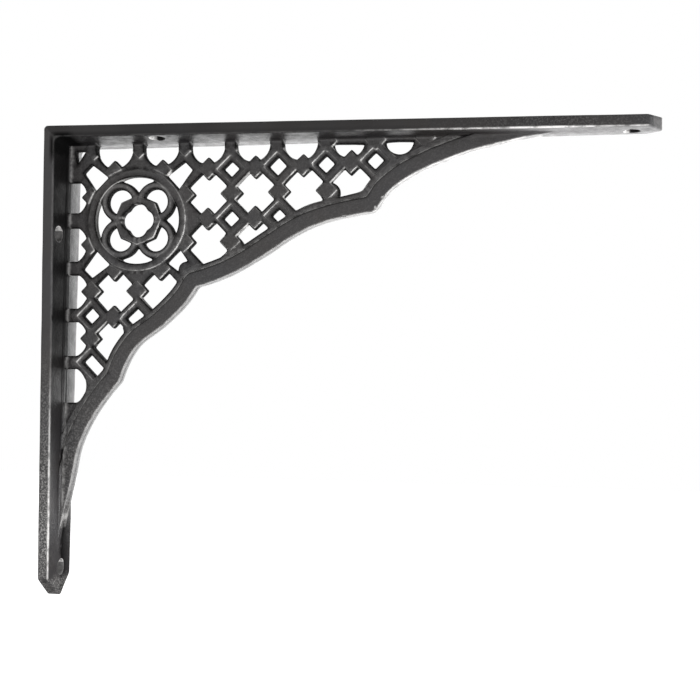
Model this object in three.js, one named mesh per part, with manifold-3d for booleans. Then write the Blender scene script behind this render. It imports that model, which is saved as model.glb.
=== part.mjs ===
// Cast-iron shelf bracket: a shelf arm and a wall arm at right angles, joined by a pierced web
// of crosses and diamonds round one rosette, with an ogee rim along the open side.
// Millimetres, +Z up, +X away from the wall. The web stands in the XZ plane, centred on Y = 0.
// Origin: on the wall face, on its centre line, half way up the wall arm.
import * as THREE from 'three';
import { mergeVertices } from 'three/addons/utils/BufferGeometryUtils.js';
import Module from 'manifold-3d';

const wasm = await Module();
wasm.setup();

// Arms
const shelfArm = 203.2;
const wallArm = 158.9;
const cornerWidth = 24.2;
const shelfTipWidth = 12.7;
const wallTipWidth = 17.8;
const shelfMiddle = 4.8;
const shelfTipMiddle = 4.3;
const wallMiddle = 4.5;
const armDraft = 0.9;
const shelfPoint = 4.4;
const wallPoint = 6.2;
const bluntEnd = 1.2;
const cornerFillet = 2.4;
const cornerInset = 0.5;

// Screw holes
const screwHole = 5.2;
const screwSide = 6.7;
const shelfScrewReach = 38.3;
const wallScrewDrop = 36.1;
const shelfTipMargin = 9.3;
const wallTipMargin = 9.4;

// Web depths, from front to back
const webDepth = 2.6;
const ribDepth = 3.6;
const rimDepth = 5;

// Lattice: columns count from the wall, rows count down from the shelf
const firstColumn = 5.6;
const columnPitch = 16.35;
const firstRow = 6.75;
const rowPitch = 16.2;
const rowRise = 0.25;

// Openings and raised work of the lattice, as half diagonals of diamonds or as radii
const notchReach = 4.05;
const bossReach = 3.5;
const ribFromEye = 1.9;
const ribWidth = 2;
const sideScallopRadius = 6.5;
const lintelDrop = 6.3;
const sideStrip = 5.9;
const cornerGap = 3.4;
const cornerColumn = 0.2;
const cornerRow = 0.08;

// Rosette, as distances from its centre
const ringInner = 14.9;
const ringOuter = 17.7;
const ringEdge = 0.45;
const ringShift = -0.3;
const petalPlace = 6.4;
const petalInner = 4.25;
const petalOuter = 6.9;
const beadWidth = 1.4;
const hubReach = 8.75;
const hubDisc = 8.9;
const lobePlace = 2.2;
const lobeRadius = 3.45;
const hubSides = 8;
const wedgeNear = 17.9;
const wedgeFar = 25.5;
const wedgeNearHalf = 3.2;
const wedgeFarHalf = 2;

// Rim: a raised band, a groove and a thin inner strip, measured in from the open edge
const rimBand = 4.8;
const rimGroove = 0.6;
const rimTotal = 6.7;
const shelfRunOut = 32;
const wallRunOut = 15;

// Facets on round work
const fineSides = 24;
const scallopSides = 20;
const ringSides = 56;
const curveStep = 4;
const keptShare = 0.97;

// Openings of the lattice, each at its own column and row as the pattern was cut by hand
const crosses = [
  { column: 3, row: 1, reach: 9.1 },
  { column: 4, row: 1.01, reach: 9.1 },
  { column: 5.03, row: 1, reach: 9.3 },
  { column: 6.02, row: 0.98, reach: 9.2 },
  { column: 3.03, row: 2.02, reach: 9.2 },
  { column: 4.03, row: 2.03, reach: 8.8 },
  { column: 1.01, row: 3.03, reach: 9.2 },
  { column: 2.02, row: 3.03, reach: 9 },
  { column: 0.98, row: 4.07, reach: 8.9 },
];
const eyes = [
  { column: 3.49, row: 0.5, reach: 2.7 },
  { column: 4.48, row: 0.48, reach: 3 },
  { column: 5.48, row: 0.47, reach: 2.9 },
  { column: 6.49, row: 0.43, reach: 2.8 },
  { column: 3.51, row: 1.53, reach: 2.7 },
  { column: 4.51, row: 1.5, reach: 2.35 },
  { column: 0.51, row: 3.52, reach: 2.8 },
  { column: 1.52, row: 3.53, reach: 2.7, heading: 225, run: 1.4 },
  { column: 0.52, row: 4.5, reach: 2.7, heading: 315, run: 3 },
];
const scallops = [
  { column: 0.95, row: 0, radius: 6.4 },
  { column: 1.97, row: 0, radius: 6.3 },
  { column: 2.98, row: 0, radius: 6.15 },
  { column: 3.97, row: 0, radius: 5.95 },
  { column: 4.95, row: 0, radius: 5.8 },
];
// The last two scallops by the shelf arm, and all by the wall arm, stop short of the arm
const shortScallops = [
  { column: 5.95, row: 0.02, radius: 5.2 },
  { column: 6.98, row: 0.03, radius: 4.6 },
];
const sideScallops = [
  { column: -0.05, row: 1 },
  { column: -0.04, row: 2 },
  { column: 0, row: 3 },
  { column: 0.02, row: 4 },
  { column: 0.02, row: 5 },
];
// Round lumps that close the corners of openings
const lumps = [
  { column: 5.57, row: 1.09, radius: 3.3 },
  { column: 3.6, row: 2.13, radius: 3 },
  { column: 2.57, row: 2.58, radius: 2.9 },
  { column: 6, row: 0.39, radius: 3.4 },
];

// Bosses: row, first column, last column. Those of the first row stand on the stems by the shelf arm
const stemBossRows = [[0, 0.5, 7.5]];
const bossRows = [
  [0.48, 1, 7], [1, 0.47, 0.47], [1, 2.5, 6.5], [1.52, 3, 5], [2, 0.47, 0.47], [2, 2.5, 4.5],
  [2.53, 1, 3], [3, 0.5, 2.5], [3.54, 1, 2], [4, 0.5, 1.5], [4.5, 1, 1],
];
const bossRoom = 8.5;

const rosetteColumn = 1.49;
const rosetteRow = 1.51;

const squareHeadings = [0, 90, 180, 270];
const cornerHeadings = [45, 135, 225, 315];
const degrees = Math.PI / 180;

function solidFrom(geometry) {
  geometry.deleteAttribute('normal');
  geometry.deleteAttribute('uv');
  const merged = mergeVertices(geometry, 1e-4);
  const mesh = new wasm.Mesh({
    numProp: 3,
    vertProperties: new Float32Array(merged.getAttribute('position').array),
    triVerts: new Uint32Array(merged.index.array),
  });
  return new wasm.Manifold(mesh);
}

function geometryFrom(solid) {
  const mesh = solid.getMesh();
  const geometry = new THREE.BufferGeometry();
  geometry.setAttribute('position', new THREE.BufferAttribute(new Float32Array(mesh.vertProperties), 3));
  geometry.setIndex(new THREE.BufferAttribute(new Uint32Array(mesh.triVerts), 1));
  geometry.computeVertexNormals();
  return geometry;
}

function join(solids) {
  return solids.reduce((whole, solid) => whole.add(solid));
}

// A prism whose outline is drawn in the XZ plane, centred on Y = 0
function prism(points, depth) {
  const geometry = new THREE.ExtrudeGeometry(new THREE.Shape(points), { depth, bevelEnabled: false });
  geometry.rotateX(Math.PI / 2);
  geometry.translate(0, depth / 2, 0);
  return solidFrom(geometry);
}

function point(x, z) {
  return new THREE.Vector2(x, z);
}

function ringPoints(centre, radius, sides) {
  return Array.from({ length: sides }, (_, index) => {
    const angle = (index / sides) * 2 * Math.PI;
    return point(centre.x + radius * Math.cos(angle), centre.y + radius * Math.sin(angle));
  });
}

function diamond(centre, reach, depth) {
  return prism(ringPoints(centre, reach, 4), depth);
}

function disc(centre, radius, depth, sides = fineSides) {
  return prism(ringPoints(centre, radius, sides), depth);
}

// Place in the lattice, from the outer corner of the bracket
function cell(column, row) {
  return point(firstColumn + columnPitch * column, rowRise * column - firstRow - rowPitch * row);
}

function cells(rows) {
  return rows.flatMap(([row, first, last]) => {
    const places = [];
    for (let column = first; column <= last; column += 1) {
      places.push(cell(column, row));
    }
    return places;
  });
}

// Open edge of the rim, from the shelf arm down to the wall arm. Headings are in degrees, the way
// the edge runs into and out of each knot; pulls say for what share of the way to the next knot the
// curve keeps to them.
function rimKnots() {
  const shelfFace = shelfTipMiddle - armDraft / 2;
  const wallFace = wallMiddle - armDraft / 2;
  return [
    { at: point(shelfArm - shelfRunOut, -shelfFace), out: 188, pull: [0, 0.61524] },
    { at: cell(6.45, 1.46), into: 247, out: 188, pull: [0.16825, 0.49559] },
    { at: cell(4.58, 2.08), into: 214, out: 214, pull: [0.33882, 0.3685] },
    { at: cell(2.8, 2.93), into: 192, out: 243, pull: [0.33822, 0.32743] },
    { at: cell(1.75, 3.99), into: 214, out: 214, pull: [0.32743, 0.34448] },
    { at: cell(1.18, 4.9), into: 254, out: 226, pull: [0.34448, 0.26483] },
    { at: cell(0.25, 6.5), into: 257, out: 263, pull: [0.32968, 0.30776] },
    { at: point(wallFace, -wallArm + wallRunOut), into: 264, pull: [0.30776, 0] },
  ];
}

function along(heading, distance) {
  return point(Math.cos(heading * degrees) * distance, Math.sin(heading * degrees) * distance);
}

function rimEdge() {
  const knots = rimKnots();
  const edge = [knots[0].at];
  for (let index = 1; index < knots.length; index += 1) {
    const start = knots[index - 1];
    const end = knots[index];
    const way = start.at.distanceTo(end.at);
    const curve = new THREE.CubicBezierCurve(
      start.at,
      start.at.clone().add(along(start.out, start.pull[1] * way)),
      end.at.clone().sub(along(end.into, end.pull[0] * way)),
      end.at,
    );
    const steps = Math.ceil(curve.getLength() / curveStep);
    edge.push(...curve.getSpacedPoints(steps).slice(1));
  }
  return edge;
}

function distanceTo(edge, place) {
  const line = new THREE.Line3();
  const near = new THREE.Vector3();
  const spot = new THREE.Vector3(place.x, place.y, 0);
  let least = Infinity;
  for (let index = 1; index < edge.length; index += 1) {
    line.start.set(edge[index - 1].x, edge[index - 1].y, 0);
    line.end.set(edge[index].x, edge[index].y, 0);
    line.closestPointToPoint(spot, true, near);
    least = Math.min(least, near.distanceTo(spot));
  }
  return least;
}

// The edge moved into the web by one distance, with mitred corners
function inwards(edge, distance) {
  const moved = edge.map((place, index) => {
    const before = edge[Math.max(index - 1, 0)];
    const after = edge[Math.min(index + 1, edge.length - 1)];
    const into = place === before ? after.clone().sub(place) : place.clone().sub(before);
    const out = place === after ? into.clone() : after.clone().sub(place);
    into.normalize();
    out.normalize();
    const mitre = into.clone().add(out).normalize();
    const stretch = distance / mitre.dot(out);
    return point(place.x + mitre.y * stretch, place.y - mitre.x * stretch);
  });
  return moved
    .filter((place) => place.x > wallMiddle / 2 && place.y < -shelfMiddle / 2)
    .filter((place) => distanceTo(edge, place) >= distance * keptShare);
}

// Outline of the web inside a line that runs from the shelf arm to the wall arm
function webOutline(line) {
  const inWall = wallMiddle / 2;
  const inShelf = shelfMiddle / 2;
  const first = line[0];
  const last = line[line.length - 1];
  return [point(inWall, -inShelf), point(inWall, last.y), ...[...line].reverse(), point(first.x, -inShelf)];
}

function strip(edge, outer, inner, depth) {
  const hollow = prism(webOutline(inwards(edge, inner)), depth * 2);
  return prism(webOutline(inwards(edge, outer)), depth).subtract(hollow);
}

// A square turned on its corner and drawn out one way: the shape of the eyes and of their ribs
function drawnDiamond(place, reach, depth, { heading = 45, run = 0 }) {
  const half = reach / Math.SQRT2;
  const back = place.clone().add(along(heading, -half));
  const front = place.clone().add(along(heading, half + run));
  const side = along(heading + 90, half);
  return prism([
    back.clone().sub(side), front.clone().sub(side), front.clone().add(side), back.clone().add(side),
  ], depth);
}

function clearBosses(edge) {
  return cells(bossRows).filter((place) => distanceTo(edge, place) > bossRoom);
}

function rectangle(left, bottom, right, top, depth) {
  return prism([point(left, bottom), point(right, bottom), point(right, top), point(left, top)], depth);
}

// Crosses and scallops, notched by the bosses round them
function wideOpenings(edge, depth) {
  const scallop = ({ column, row, radius = sideScallopRadius }) => (
    disc(cell(column, row), radius, depth, scallopSides)
  );
  const lintel = rectangle(0, -lintelDrop, shelfArm, 0, depth * 2);
  const strip = rectangle(0, -wallArm, sideStrip, 0, depth * 2);
  const whole = join([
    ...crosses.map(({ column, row, reach }) => diamond(cell(column, row), reach, depth)),
    ...scallops.map(scallop),
    join(shortScallops.map(scallop)).subtract(lintel),
    join(sideScallops.map(scallop)).subtract(strip),
  ]);
  const notches = clearBosses(edge).map((place) => diamond(place, notchReach, depth * 2));
  return whole.subtract(join(notches));
}

function petalPlaces(centre) {
  return cornerHeadings.map((heading) => along(heading, petalPlace * Math.SQRT2).add(centre));
}

function ringCentre(centre) {
  return point(centre.x + ringShift, centre.y);
}

function rosetteOpenings(centre, depth) {
  const corners = petalPlaces(centre);
  const petals = join(corners.map((place) => disc(place, petalOuter, depth * 2)));
  const heart = disc(centre, hubDisc, depth * 2);
  const sides = disc(ringCentre(centre), ringInner, depth, ringSides).subtract(petals).subtract(heart);
  const hub = prism(ringPoints(centre, hubReach, hubSides), depth * 2);
  const beans = join(corners.map((place) => disc(place, petalInner, depth))).subtract(hub);
  const lobes = squareHeadings
    .map((heading) => along(heading, lobePlace).add(centre))
    .map((place) => disc(place, lobeRadius, depth));
  return join([sides, beans, ...lobes]);
}

// Four-sided openings that fill the corners between the ring and the lattice
function wedgeOpenings(centre, depth) {
  return join(cornerHeadings.map((heading) => {
    const near = along(heading, wedgeNear).add(centre);
    const far = along(heading, wedgeFar).add(centre);
    const nearSide = along(heading + 90, wedgeNearHalf);
    const farSide = along(heading + 90, wedgeFarHalf);
    return prism([
      near.clone().sub(nearSide),
      far.clone().sub(farSide),
      far.clone().add(farSide),
      near.clone().add(nearSide),
    ], depth);
  }));
}

function cornerOpening(depth) {
  const heart = cell(cornerColumn, cornerRow);
  return prism([
    point(heart.x - cornerGap / 2, heart.y + cornerGap / 3),
    point(heart.x - cornerGap / 3, heart.y - cornerGap),
    point(heart.x + cornerGap / 2, heart.y + cornerGap / 3),
  ], depth);
}

// Each eye is ringed by a raised rib, a ledge away from it
function eyeRib(eye) {
  const place = cell(eye.column, eye.row);
  const inner = eye.reach + ribFromEye;
  const hollow = drawnDiamond(place, inner, ribDepth * 2, eye);
  return drawnDiamond(place, inner + ribWidth, ribDepth, eye).subtract(hollow);
}

function latticeRibs(edge) {
  const bosses = [...cells(stemBossRows), ...clearBosses(edge)];
  return join([...eyes.map(eyeRib), ...bosses.map((place) => diamond(place, bossReach, ribDepth))]);
}

function rosetteRibs(centre) {
  const middleOfRing = ringCentre(centre);
  const ring = disc(middleOfRing, ringOuter - ringEdge, ribDepth, ringSides)
    .subtract(disc(middleOfRing, ringInner + ringEdge, ribDepth * 2, ringSides));
  const middle = (petalInner + petalOuter) / 2;
  const beads = petalPlaces(centre).map((place) => {
    const hollow = disc(place, middle - beadWidth / 2, ribDepth * 2);
    return disc(place, middle + beadWidth / 2, ribDepth).subtract(hollow);
  });
  const outside = disc(centre, ringOuter - ringEdge, ribDepth * 2, ringSides);
  const hub = prism(ringPoints(centre, hubReach - ringEdge * 2, hubSides), ribDepth)
    .subtract(disc(centre, lobePlace + lobeRadius + ringEdge, ribDepth * 2));
  return join([ring, join(beads).intersect(outside), hub]);
}

function web() {
  const edge = rimEdge();
  const through = rimDepth * 2;
  const rosette = cell(rosetteColumn, rosetteRow);
  const inside = prism(webOutline(inwards(edge, rimTotal)), through);
  const filled = join(lumps.map(({ column, row, radius }) => disc(cell(column, row), radius, through * 2)));
  const openings = join([
    wideOpenings(edge, through),
    ...eyes.map((eye) => drawnDiamond(cell(eye.column, eye.row), eye.reach, through, eye)),
    rosetteOpenings(rosette, through),
    wedgeOpenings(rosette, through),
    cornerOpening(through),
  ]).subtract(filled);
  const insideGroove = prism(webOutline(inwards(edge, rimBand + rimGroove)), through);
  const ribs = latticeRibs(edge)
    .subtract(disc(ringCentre(rosette), ringOuter + ringEdge, through, ringSides))
    .add(rosetteRibs(rosette))
    .intersect(insideGroove);
  const innerStrip = strip(edge, rimBand + rimGroove, rimTotal + ringEdge, ribDepth);
  const band = strip(edge, 0, rimBand, rimDepth);
  const plate = prism(webOutline(edge), webDepth);
  return join([plate, ribs, innerStrip]).subtract(openings.intersect(inside)).add(band);
}

// Outline of an arm seen square to its outer face: length along X, width along Y
function armPlan(length, tipWidth, pointLength) {
  const start = length - pointLength;
  return [
    point(0, -cornerWidth / 2), point(start, -tipWidth / 2), point(length, -bluntEnd / 2),
    point(length, bluntEnd / 2), point(start, tipWidth / 2), point(0, cornerWidth / 2),
  ];
}

// An arm lies along +X under Z = 0, flat on top, drafted below from its middle to both edges
// and from the corner to its tip
function arm(length, tipWidth, pointLength, middle, tipMiddle) {
  const plan = new THREE.ExtrudeGeometry(new THREE.Shape(armPlan(length, tipWidth, pointLength)), {
    depth: middle, bevelEnabled: false,
  });
  plan.translate(0, 0, -middle);
  const half = cornerWidth / 2;
  const section = new THREE.Shape([
    point(-half, 0), point(-half, armDraft - middle), point(0, -middle),
    point(half, armDraft - middle), point(half, 0),
  ]);
  const bar = new THREE.ExtrudeGeometry(section, { depth: length, bevelEnabled: false });
  bar.rotateX(Math.PI / 2);
  bar.rotateZ(Math.PI / 2);
  const places = bar.getAttribute('position');
  for (let index = 0; index < places.count; index += 1) {
    const share = places.getX(index) / length;
    places.setZ(index, places.getZ(index) * THREE.MathUtils.lerp(1, tipMiddle / middle, share));
  }
  return solidFrom(plan).intersect(solidFrom(bar));
}

function cornerBlock() {
  const depth = cornerWidth - 2 * cornerInset;
  return prism([
    point(wallMiddle / 2, -shelfMiddle / 2),
    point(wallMiddle / 2, armDraft - shelfMiddle - cornerFillet),
    point(wallMiddle - armDraft + cornerFillet, -shelfMiddle / 2),
  ], depth);
}

function drill(length, x, y) {
  const cylinder = new THREE.CylinderGeometry(screwHole / 2, screwHole / 2, length, fineSides);
  cylinder.rotateX(Math.PI / 2);
  cylinder.translate(x, y, 0);
  return solidFrom(cylinder);
}

// The wall arm is drawn lying down like the shelf arm, then turned about the outer corner
function upright(solid) {
  return solid.rotate([0, 90, 0]).scale([-1, 1, 1]);
}

function bracket() {
  const depth = shelfMiddle * 4;
  const shelf = arm(shelfArm, shelfTipWidth, shelfPoint, shelfMiddle, shelfTipMiddle);
  const wall = upright(arm(wallArm, wallTipWidth, wallPoint, wallMiddle, wallMiddle));
  const shelfHoles = drill(depth, shelfScrewReach, -screwSide)
    .add(drill(depth, shelfArm - shelfTipMargin, 0));
  const wallHoles = upright(drill(depth, wallScrewDrop, -screwSide)
    .add(drill(depth, wallArm - wallTipMargin, 0)));
  return join([shelf, wall, cornerBlock(), web()]).subtract(shelfHoles).subtract(wallHoles);
}

const castIron = new THREE.MeshStandardMaterial({ color: 0x3b3a3a, roughness: 0.55, metalness: 0.7 });

const casting = new THREE.Mesh(geometryFrom(bracket()), castIron);
casting.name = 'bracket_casting';
casting.position.z = wallArm / 2;

const group = new THREE.Group();
group.add(casting);

export default group;
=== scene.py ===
"""Looks of the cast-iron shelf bracket: one iron casting with its finer relief, a pale floor,
soft light and the photograph's camera. Shape sizes are in millimetres from the outer corner of
the bracket (X away from the wall, Z up from the shelf face), and turned into metres at the end.
"""
import math

import bpy
import numpy as np
from mathutils import Matrix, Vector, geometry


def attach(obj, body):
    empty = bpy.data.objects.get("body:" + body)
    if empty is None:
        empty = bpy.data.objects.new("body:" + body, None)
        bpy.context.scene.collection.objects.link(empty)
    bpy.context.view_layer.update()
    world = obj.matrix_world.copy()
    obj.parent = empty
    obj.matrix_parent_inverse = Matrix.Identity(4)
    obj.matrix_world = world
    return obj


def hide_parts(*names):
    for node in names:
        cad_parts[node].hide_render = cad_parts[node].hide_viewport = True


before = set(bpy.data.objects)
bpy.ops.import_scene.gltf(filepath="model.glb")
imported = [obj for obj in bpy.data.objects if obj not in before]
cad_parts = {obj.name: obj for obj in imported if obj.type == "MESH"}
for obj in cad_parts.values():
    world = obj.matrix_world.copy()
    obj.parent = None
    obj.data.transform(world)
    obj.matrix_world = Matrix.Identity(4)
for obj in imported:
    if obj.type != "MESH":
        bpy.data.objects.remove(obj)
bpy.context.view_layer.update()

CASTING = "bracket_casting"

# Sizes, as in the CAD source apart from small corrections
SHELF_ARM, WALL_ARM = 203.2, 158.9
CORNER_WIDTH, SHELF_TIP_WIDTH, WALL_TIP_WIDTH = 24.2, 12.7, 17.8
SHELF_MIDDLE, SHELF_TIP_MIDDLE, WALL_MIDDLE, ARM_DRAFT = 4.8, 4.3, 4.5, 0.9
SHELF_POINT, WALL_POINT, BLUNT_END = 4.4, 6.2, 1.2
SCREW_HOLE, SCREW_SIDE = 5.2, 6.7
SHELF_SCREW_REACH, WALL_SCREW_DROP = 38.3, 36.1
SHELF_TIP_MARGIN, WALL_TIP_MARGIN = 9.3, 9.4
# Screw holes: place across, place along, and whether it is in the wall arm
SCREW_PLACES = [
    (-SCREW_SIDE, SHELF_SCREW_REACH, False), (0, SHELF_ARM - SHELF_TIP_MARGIN, False),
    (-SCREW_SIDE, -WALL_SCREW_DROP, True), (0, WALL_TIP_MARGIN - WALL_ARM, True),
]
WEB_DEPTH, RIB_DEPTH, RIM_DEPTH = 2.6, 3.6, 5.0
FIRST_COLUMN, COLUMN_PITCH, FIRST_ROW, ROW_PITCH, ROW_RISE = 5.6, 16.35, 6.75, 16.2, 0.25
BOSS_REACH, CORNER_GAP = 3.5, 3.4
RING_INNER, RING_OUTER = 14.9, 17.7
PETAL_PLACE, PETAL_INNER, PETAL_OUTER = 6.4, 4.25, 6.9
# Petals: heading and shift
PETALS = [(45, (-0.12, -0.15)), (135, (0.05, -0.2)), (225, (0.15, 0.05)), (315, (0.1, 0.1))]
HUB_REACH, HUB_DISC, LOBE_PLACE, LOBE_RADIUS = 8.75, 8.9, 2.2, 3.45
HUB_SHIFT, RING_SHIFT = (0.1, -0.12), (-0.3, 0.0)
WEDGE_NEAR, WEDGE_FAR, WEDGE_NEAR_HALF, WEDGE_FAR_HALF = 17.9, 25.5, 3.2, 2.0
RIM_BAND, RIM_GROOVE, RIM_TOTAL = 4.8, 0.6, 6.9
SHELF_RUN_OUT, WALL_RUN_OUT = 32.0, 17.0
BOSS_ROOM = 8.5
RING_EDGE, RING_LIP, RING_MOAT, HUB_BORDER = 0.45, 0.2, 0.5, 0.5
# Columns and rows of the rosette's middle and of the small opening in the corner
ROSETTE_CELL, CORNER_CELL = (1.49, 1.51), (0.2, 0.08)

# Openings of the lattice: column, row and reach
CROSSES = [
    (3, 1, 9.1), (4, 1.01, 9.05), (5.035, 1, 9.3), (6.02, 0.98, 9.2), (3.04, 2.02, 9.2),
    (4.03, 2.03, 8.8), (1.01, 3.03, 9.2), (2.02, 3.03, 9), (0.995, 4.07, 8.8),
]
# Eyes: column, row, reach, and the heading and the run by which they are drawn out
EYES = [
    (3.49, 0.5, 2.7, 45, 0), (4.475, 0.475, 3.05, 45, 0), (5.48, 0.465, 2.9, 45, 0),
    (6.49, 0.43, 2.8, 45, 0), (3.51, 1.53, 2.7, 45, 0), (4.51, 1.5, 2.35, 45, 0),
    (0.51, 3.52, 2.8, 45, 0), (1.52, 3.53, 2.7, 225, 1.4), (0.52, 4.5, 2.7, 315, 3),
]
# Scallops against the shelf arm: column and radius
TOP_SCALLOPS = [(0.955, 6.45), (1.975, 6.2), (2.98, 5.95), (3.95, 5.8), (4.945, 5.75)]
# Scallops that stop short of an arm: column, row and radius
SHORT_SCALLOPS = [(5.95, 0.02, 5.2), (6.98, 0.035, 4.6)]
LINTEL_DROP = (6.45, 5.95)
# Scallops beside the wall arm, which leave a strip of web: column, row and radius
SIDE_SCALLOPS = [(-0.05, 1, 6.6), (-0.03, 2, 6.6), (0.01, 3, 6.6), (0.035, 4, 6.55), (0.03, 4.99, 6.5)]
SIDE_STRIP = 4.7
# Half heights of the side scallops, whose tops and feet are flat
SIDE_HALVES = (5.25, 5.75, 5.7, 5.8, 5.75)
# Bosses by the shelf arm: first column and how many
STEM_BOSSES = (0.5, 8)
# Bosses that notch the openings: row, first column, last column and reach
BOSS_ROWS = [
    (0.48, 0.96, 0.96, 4.25), (0.48, 2, 2, 4.05), (0.47, 3, 5, 4.05), (0.45, 6, 6, 4.4),
    (0.48, 7, 7, 4.05), (1, 2.5, 6.5, 4.05), (1.52, 3, 3, 4.05), (1.53, 4.01, 5.01, 4.3),
    (2, 2.5, 2.5, 4.3), (2, 3.5, 4.5, 4.05), (2.54, 1, 2, 4.35), (2.53, 3, 3, 4.05),
    (3, 0.5, 2.5, 4.05), (3.54, 1, 2, 4.05), (4, 0.5, 1.5, 4.05), (4.5, 1, 1, 4.05),
    (1, 0.47, 0.47, 4.05), (2, 0.47, 0.47, 4.05),
]
# Corner openings round the rosette: heading, shift and how much wider on each side
WEDGES = [(45, (-0.4, 0.2), 0), (135, (-0.5, -0.2), 0), (225, (0.2, -0.2), 0.25), (315, (0.2, 0.2), 0)]
# Iron that fills corners of openings by the rim: place and radius
FILLS = [((96.6, -22.3), 3.4), ((64.6, -40.6), 3.1), ((47.6, -47.9), 2.9), ((26.9, -68.0), 1.5)]
# Places where the inner strip of the rim swells: place, width and how much
SWELLS = [(90.0, 8.0, 0.6), (109.0, 5.0, 0.75)]
# Small breaks in the front edge of the rim: place and radius
CHIPS = [((114.9, -24.7), 0.75), ((112.4, -27.9), 0.6), ((102.0, -30.8), 0.7)]
CHIP_DEPTH = 0.7

# Finer shape that only the looks have
RIB_NEAR, RIB_FAR, STRIP_SPILL = 5.0, 7.6, 0.3
STEP_RUN = 0.4
LEDGE_DEPTH = 2.3
EDGE_ROUND = (0.55, 0.75)
RIM_ROUND, RIM_EASE = 0.5, 0.05
BEAD_RISE, BEAD_FOOT, BEAD_HALF = 0.45, 0.05, 1.25
WEB_FILLET = 1.1
ARM_ROUND = 0.45
CORNER_ROUND, INNER_FILLET, CORNER_SPAN = 1.3, 2.6, 16.0
WOBBLE, WOBBLE_SPAN, WOBBLE_SEEDS = 0.11, 5.5, (11, 12)
ARM_WOBBLE, ARM_WOBBLE_SPAN, ARM_WOBBLE_SEED = 0.12, 9, 21
WEB_BUMP, WEB_BUMP_SPAN, WEB_BUMP_SEED = 0.03, 2.2, 13
ARM_BUMP, ARM_BUMP_SPAN, ARM_BUMP_SEED = 0.04, 3.0, 22
# How far outlines are softened
RIM_BLUR, RING_BLUR, HOLE_BLUR, RIB_BLUR, ARM_BLUR = 0.7, 0.4, 0.25, 0.2, 0.35
EDGE_BAND = 0.5

# Shade of the web: how strong it is and how far it reaches
HOLE_SHADE, GROOVE_SHADE, MOAT_SHADE = (1.6, 0.9), (0.6, 0.5), (0.9, 0.6)
HOLE_SHADE_POWER, PARTING_SHADE, PARTING_REACH = 1.5, 0.7, 0.45
# The moat is in shade where it faces straight up, down or to the wall
MOAT_STRAIGHT, MOAT_STRAIGHT_RUN = 0.88, 0.08
# Painted highlights of the web, real wear at its chips, and specks that are partly grain and partly painted
# sparkle, more toward the bottom: how strong they are and how far they reach
STEP_HIGHLIGHT, CREST_HIGHLIGHT, LIP_HIGHLIGHT, SEAM_HIGHLIGHT = (0.9, 0.24), (0.35, 0.45), (0.7, 0.35), (0.5, 0.4)
STEP_HIGHLIGHT_LEAST, STEP_HIGHLIGHT_AHEAD = 0.25, (0.16, -0.12)
LIP_TOP, LIP_DEPTH = 0.1, 0.6
OUTER_WALL_LIGHT, OUTER_WALL_LIGHT_START, OUTER_WALL_LIGHT_RUN, OUTER_WALL = 0.65, 70, 60, 0.12
CHIP_WEAR, CHIP_RUN = 0.5, 0.4
WEB_SPECKS, WEB_SPECKS_MORE, WEB_SPECKS_FROM, WEB_SPECKS_RUN = 0.05, 0.35, 0.65, 0.5
# Painted highlights and specks (partly grain, partly painted sparkle) of the arms, by the share of the arm's
# length at which they start
ARM_EDGE_HIGHLIGHT, ARM_EDGE_HIGHLIGHT_FROM, ARM_EDGE_HIGHLIGHT_RUN, ARM_EDGE_HIGHLIGHT_LEAST = 2.6, 0.5, 0.35, 0.03
TIP_LIGHT, TIP_LIGHT_FROM = 0.1, 0.985
SHELF_SPECKS, SHELF_SPECKS_FROM, SHELF_SPECKS_RUN = 0.18, 0.75, 0.4
WALL_SPECKS_FROM, WALL_SPECKS_RUN = 0.65, 0.5
TIP_SPECKS, TIP_SPECKS_FROM = 0.6, 0.962
# Shade of the arms' inner faces, which lie deeper than this under the outer ones
INNER_DEPTH = 2.5
SHELF_SHADE, SHELF_SHADE_END, SHELF_FRONT_SHADE, SHELF_FRONT_RUN = 0.55, 0.85, 0.4, 0.2
WALL_FRONT_SHADE, WALL_FRONT_RUN, WALL_BACK_SHADE, WALL_BACK_WIDTH = 0.9, 0.35, 0.95, 11
FRONT_SHADE_END, SIDE_SHADE = 0.8, 0.32
CORNER_SHADE_START, CORNER_SHADE_RUN = 4, 5
# Bores of the screw holes: painted light on one side and painted shade on the other
BORE_BRIGHT, BORE_HALF_LIGHT, BORE_SHADE, BORE_REACH = 1.6, 0.2, 0.7, 0.1
WALL_BORE_LIGHT, WALL_BORE_DEPTHS, SHELF_BORE_LIGHT = 1.5, (1.5, 2), -0.8

# Lines that the meshes follow, as distances in from an edge or from a middle line
HOLE_LINES, RIB_LINES, CHIP_LINES = (0.02, 0.1, 0.25, 0.55), (-0.2, 0, 0.2), (-0.25, 0.25)
BEAD_LINES = (0.35, 0.8, 1.1, 1.25)
RIM_LINES = (0.03, 0.14, 0.3, 0.5, RIM_BAND - 0.15, RIM_BAND + 0.15)
# Shares of the run of the fillet between the web and the arms
FILLET_SHARES = (0.0, 0.08, 0.25, 0.55, 1.0)
ARM_EDGE_LINES, BORE_LINES, WIDTH_LINES = (0.04, 0.15, 0.35, 1.0), (0.06, 0.25), (-6, -3, 0.05, 3, 6)
CORNER_LINES = (0.3, 0.6, 1, 1.3, 1.8, 2.4, 3, 4, 6, 9, 12, 16)

# Extent of the web's grid, half the width of the arms' grid, and a distance past every bead
WEB_SPAN, ARM_SPAN, FAR = (0, 176, -142, 0), 13, 9.0
# Distance between the points of a grid, and a millimetre in metres
GRID, MM = 0.2, 0.001
rng = np.random.default_rng(7)


# Plane fields
def cell(column, row):
    return np.array([
        FIRST_COLUMN + COLUMN_PITCH * column,
        ROW_RISE * column - FIRST_ROW - ROW_PITCH * row,
    ])


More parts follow.
